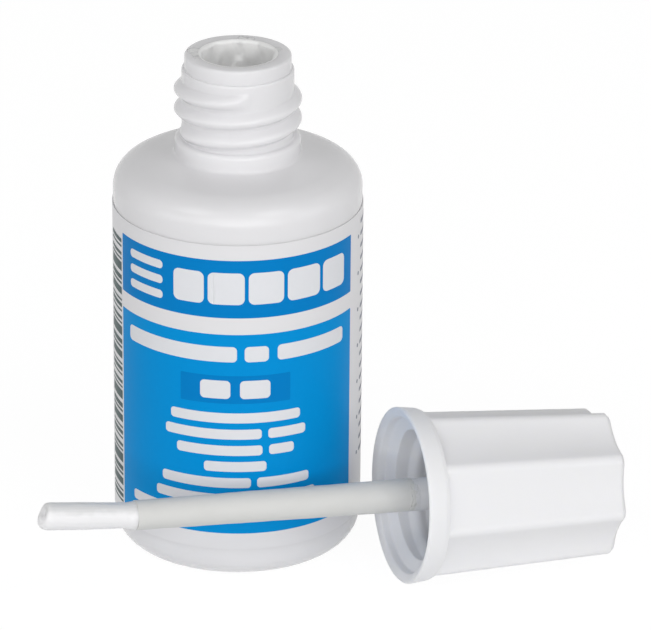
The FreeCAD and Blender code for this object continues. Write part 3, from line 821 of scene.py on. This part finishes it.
# Whiter and smoother on the lower side, greyer with hair streaks on the upper side.
whiter_lower_side = (place.part(0) + place.noise(1.5) * 0.8).step(-0.8, -0.1)
surface(
    bristles,
    place,
    Base_Color=whiter_lower_side.between(hairs.between((0.72, 0.72, 0.72, 1), (0.84, 0.84, 0.84, 1)), (0.91, 0.905, 0.915, 1)),
    Roughness=hairs * 0.1 + 0.3,
    Subsurface_Weight=0.5,
    Subsurface_Radius=(1, 1, 1),
    Subsurface_Scale=0.001,
    Normal=(hairs * (1 - whiter_lower_side * 0.8) + place.noise(2.0) * 0.8).bump(0.05),
)
dress(brush, bristles, "bristles", "brush_tuft")


# Staple: a short flat length of drawn wire, driven across the tuft's fold into the hole in the stem's end.
# It is hidden inside the stem, and its shape is the one in the CAD.

staple_wire, place = place_on("drawn_wire")
surface(
    staple_wire,
    place,
    Base_Color=(0.6, 0.6, 0.61, 1),
    Metallic=1.0,
    Roughness=place.noise(0.3) * 0.2 + 0.3,
)
dress(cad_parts["brush_staple"], staple_wire, "staple_wire")


# Studio: a sheet of white paper under white air, both of which look evenly white and light little by themselves.
# Two soft boxes hang overhead, a wide one and a low one stand in front, and a smaller one at each side fills in.

FLOOR_REACH = 2.0

floor_mesh = bpy.data.meshes.new("floor")
corners = [(FLOOR_REACH * x, FLOOR_REACH * y, 0) for x, y in ((-1, -1), (1, -1), (1, 1), (-1, 1))]
floor_mesh.from_pydata(corners, [], [(0, 1, 2, 3)])
floor = put("floor", floor_mesh)
floor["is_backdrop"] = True


def seen_share(tree):
    """1 for rays that end in the camera, straight, mirrored or through something clear, and 0 for others."""
    outputs = Shade(tree).node("ShaderNodeLightPath", {}, {}).socket.node.outputs
    kinds = ("Camera", "Glossy", "Transmission")
    straight, mirrored, through = (Shade(tree, outputs[f"Is {kind} Ray"]) for kind in kinds)
    return straight + mirrored + through


paper = bpy.data.materials.new("white_paper")
paper.use_nodes = True
paper.node_tree.nodes.clear()
sheet = Shade(paper.node_tree)
seen = seen_share(paper.node_tree) * 0.88
matte = sheet.node("ShaderNodeBsdfDiffuse", {}, {"Color": (0.92, 0.92, 0.92, 1)})
glow = sheet.node("ShaderNodeEmission", {}, {"Color": (1, 1, 1, 1), "Strength": 1.07})
both = sheet.node("ShaderNodeMixShader", {}, {0: seen, 1: matte, 2: glow})
paper_end = paper.node_tree.nodes.new("ShaderNodeOutputMaterial")
paper.node_tree.links.new(both.socket, paper_end.inputs["Surface"])
floor_mesh.materials.append(paper)

world = bpy.data.worlds.new("studio")
bpy.context.scene.world = world
world.use_nodes = True
world.node_tree.nodes.clear()
air = Shade(world.node_tree)
brightness = seen_share(world.node_tree) * 0.72 + 0.28
sky = air.node("ShaderNodeBackground", {}, {"Color": (1, 1, 1, 1), "Strength": brightness})
world_end = world.node_tree.nodes.new("ShaderNodeOutputWorld")
world.node_tree.links.new(sky.socket, world_end.inputs["Surface"])


def softbox(name, place, target, width, height, power):
    """A rectangular lamp at a place in metres, facing a target."""
    lamp = bpy.data.lights.new(name, "AREA")
    lamp.shape = "RECTANGLE"
    lamp.size, lamp.size_y = width, height
    lamp.energy = power
    piece = put(name, lamp)
    piece.location = place
    piece.rotation_mode = "QUATERNION"
    piece.rotation_quaternion = (Vector(target) - Vector(place)).to_track_quat("-Z", "Y")


softbox("left_box", (-0.45, -0.43, 0.7), (0, 0, 0.04), 0.42, 0.34, 0.95)
softbox("right_box", (0.45, -0.5, 0.7), (0, 0, 0.04), 0.42, 0.34, 1.15)
softbox("front_box", (0.03, -1.0, 0.31), (0, 0, 0.03), 1.5, 0.56, 4.35)
softbox("low_box", (0.2, -0.9, 0.09), (0, 0, 0.02), 0.9, 0.16, 0.75)
softbox("left_side_box", (-0.8, -0.5, 0.16), (0, 0, 0.02), 0.5, 0.3, 0.65)
softbox("side_box", (0.9, -0.3, 0.3), (0, 0, 0.03), 0.6, 0.5, 0.9)

EYE = (0.01683, -0.56711, 0.27107)
EYE_HEADING = math.radians(0.677)
EYE_TILT = math.radians(66.746)
EYE_ROLL = math.radians(0.4615)

camera_data = bpy.data.cameras.new("camera")
camera_data.sensor_width = 36.0
camera_data.lens = 295.98
camera_data.clip_start, camera_data.clip_end = 0.01, 20
camera = put("camera", camera_data)
camera.matrix_world = (
    Matrix.Translation(EYE)
    @ Matrix.Rotation(EYE_HEADING, 4, "Z")
    @ Matrix.Rotation(EYE_TILT, 4, "X")
    @ Matrix.Rotation(EYE_ROLL, 4, "Z")
)
bpy.context.scene.camera = camera
bpy.context.scene.view_settings.view_transform = "Standard"

low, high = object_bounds()
